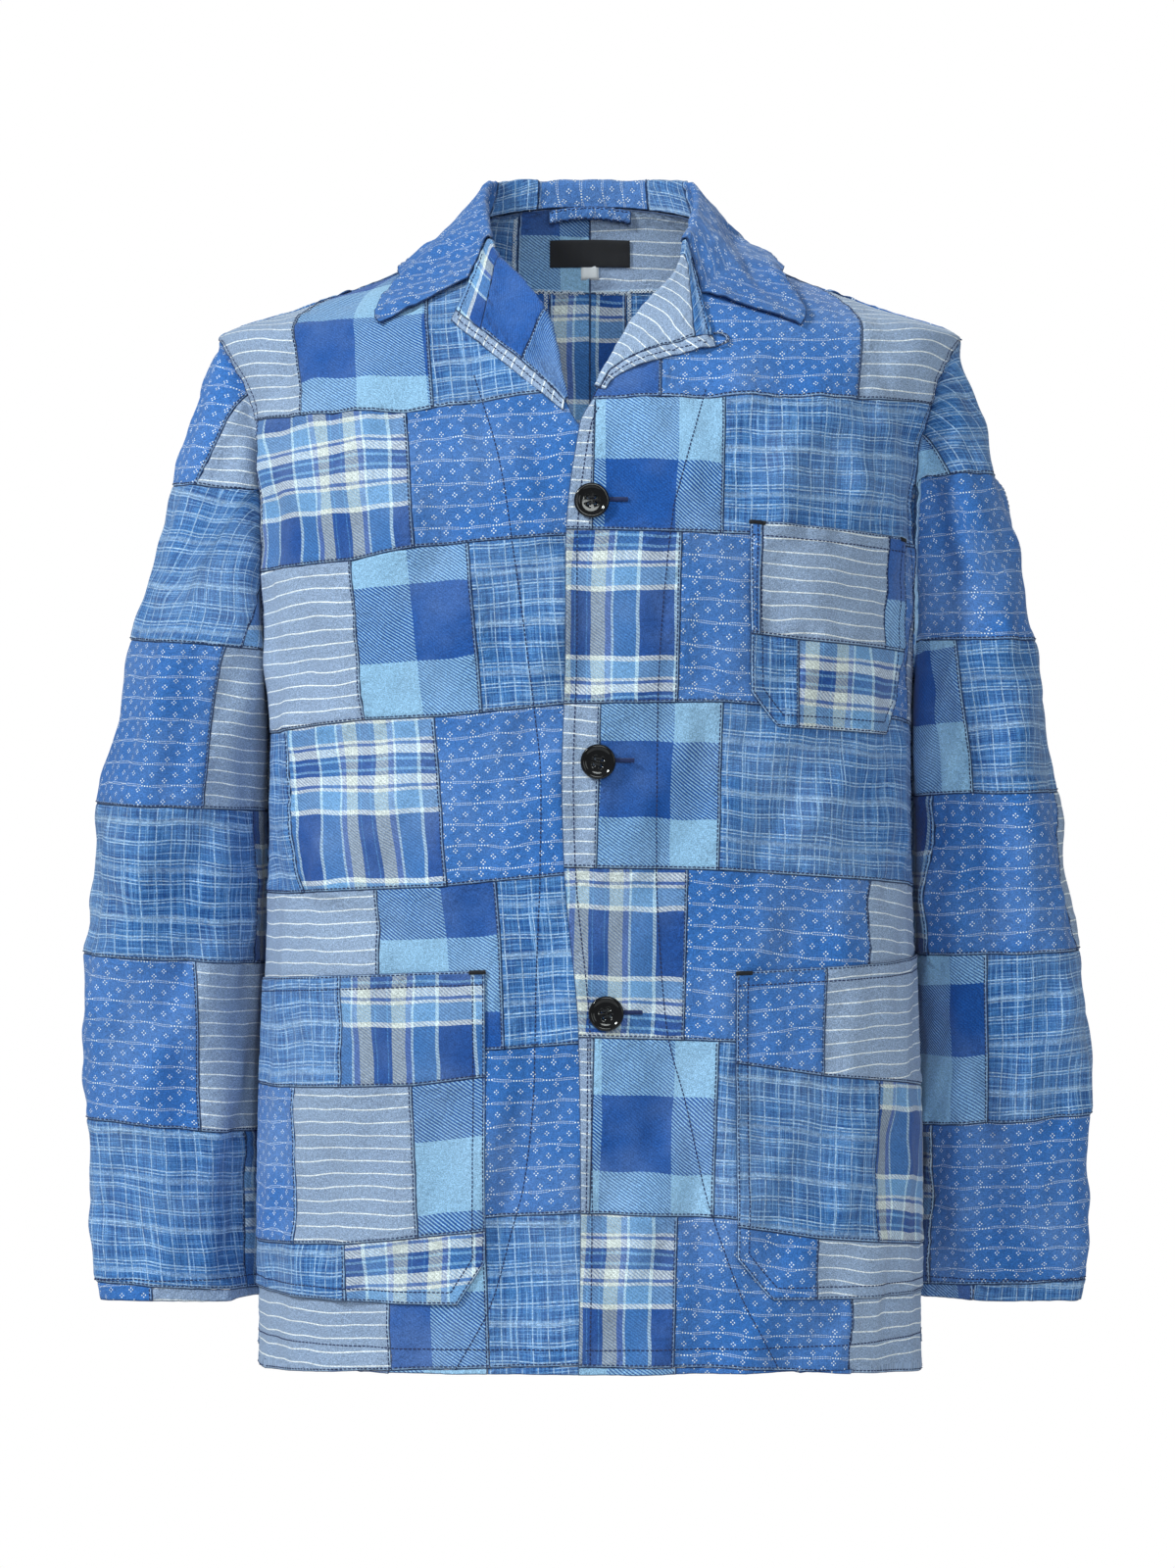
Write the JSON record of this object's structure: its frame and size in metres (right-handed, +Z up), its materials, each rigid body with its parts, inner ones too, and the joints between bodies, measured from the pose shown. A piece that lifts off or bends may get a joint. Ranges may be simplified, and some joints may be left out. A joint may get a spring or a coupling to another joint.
{
  "type": "patchwork jacket",
  "caption": "Buttoned cotton patchwork jacket in its worn form, with a notched collar, set-in sleeves and patch pockets.",
  "frame": {"origin": "midway between the two side-neck points, where the jacket hangs on the wearer's shoulders", "axes": "+X towards the wearer's left, +Y towards the back, +Z up; the front faces -Y"},
  "size_m": [0.6544, 0.2617, 0.7687],
  "materials": {
    "back_left_cloth": "washed cotton",
    "back_right_cloth": "washed cotton",
    "front_left_cloth": "washed cotton",
    "front_right_cloth": "washed cotton",
    "sleeve_left_cloth": "washed cotton",
    "sleeve_right_cloth": "washed cotton",
    "lapel_left_cloth": "washed cotton",
    "lapel_right_cloth": "washed cotton",
    "collar_cloth": "washed cotton",
    "pocket_chest_cloth": "washed cotton",
    "pocket_left_cloth": "washed cotton",
    "pocket_right_cloth": "washed cotton",
    "hanger_loop_cloth": "washed cotton",
    "neck_label_cloth": "washed cotton",
    "size_tab_cloth": "washed cotton",
    "lapel_loop_cloth": "washed cotton",
    "button_black": "polished"
  },
  "bodies": {
    "root": {"back_left": "back_left_cloth", "back_right": "back_right_cloth", "front_left": "front_left_cloth", "front_right": "front_right_cloth", "sleeve_left": "sleeve_left_cloth", "sleeve_right": "sleeve_right_cloth", "lapel_left": "lapel_left_cloth", "lapel_right": "lapel_right_cloth", "collar": "collar_cloth", "pocket_chest": "pocket_chest_cloth", "pocket_left": "pocket_left_cloth", "pocket_right": "pocket_right_cloth", "hanger_loop": "hanger_loop_cloth", "neck_label": "neck_label_cloth", "size_tab": "size_tab_cloth", "lapel_loop": "lapel_loop_cloth", "button_top": "button_black", "button_middle": "button_black", "button_bottom": "button_black"}
  },
  "joints": []
}
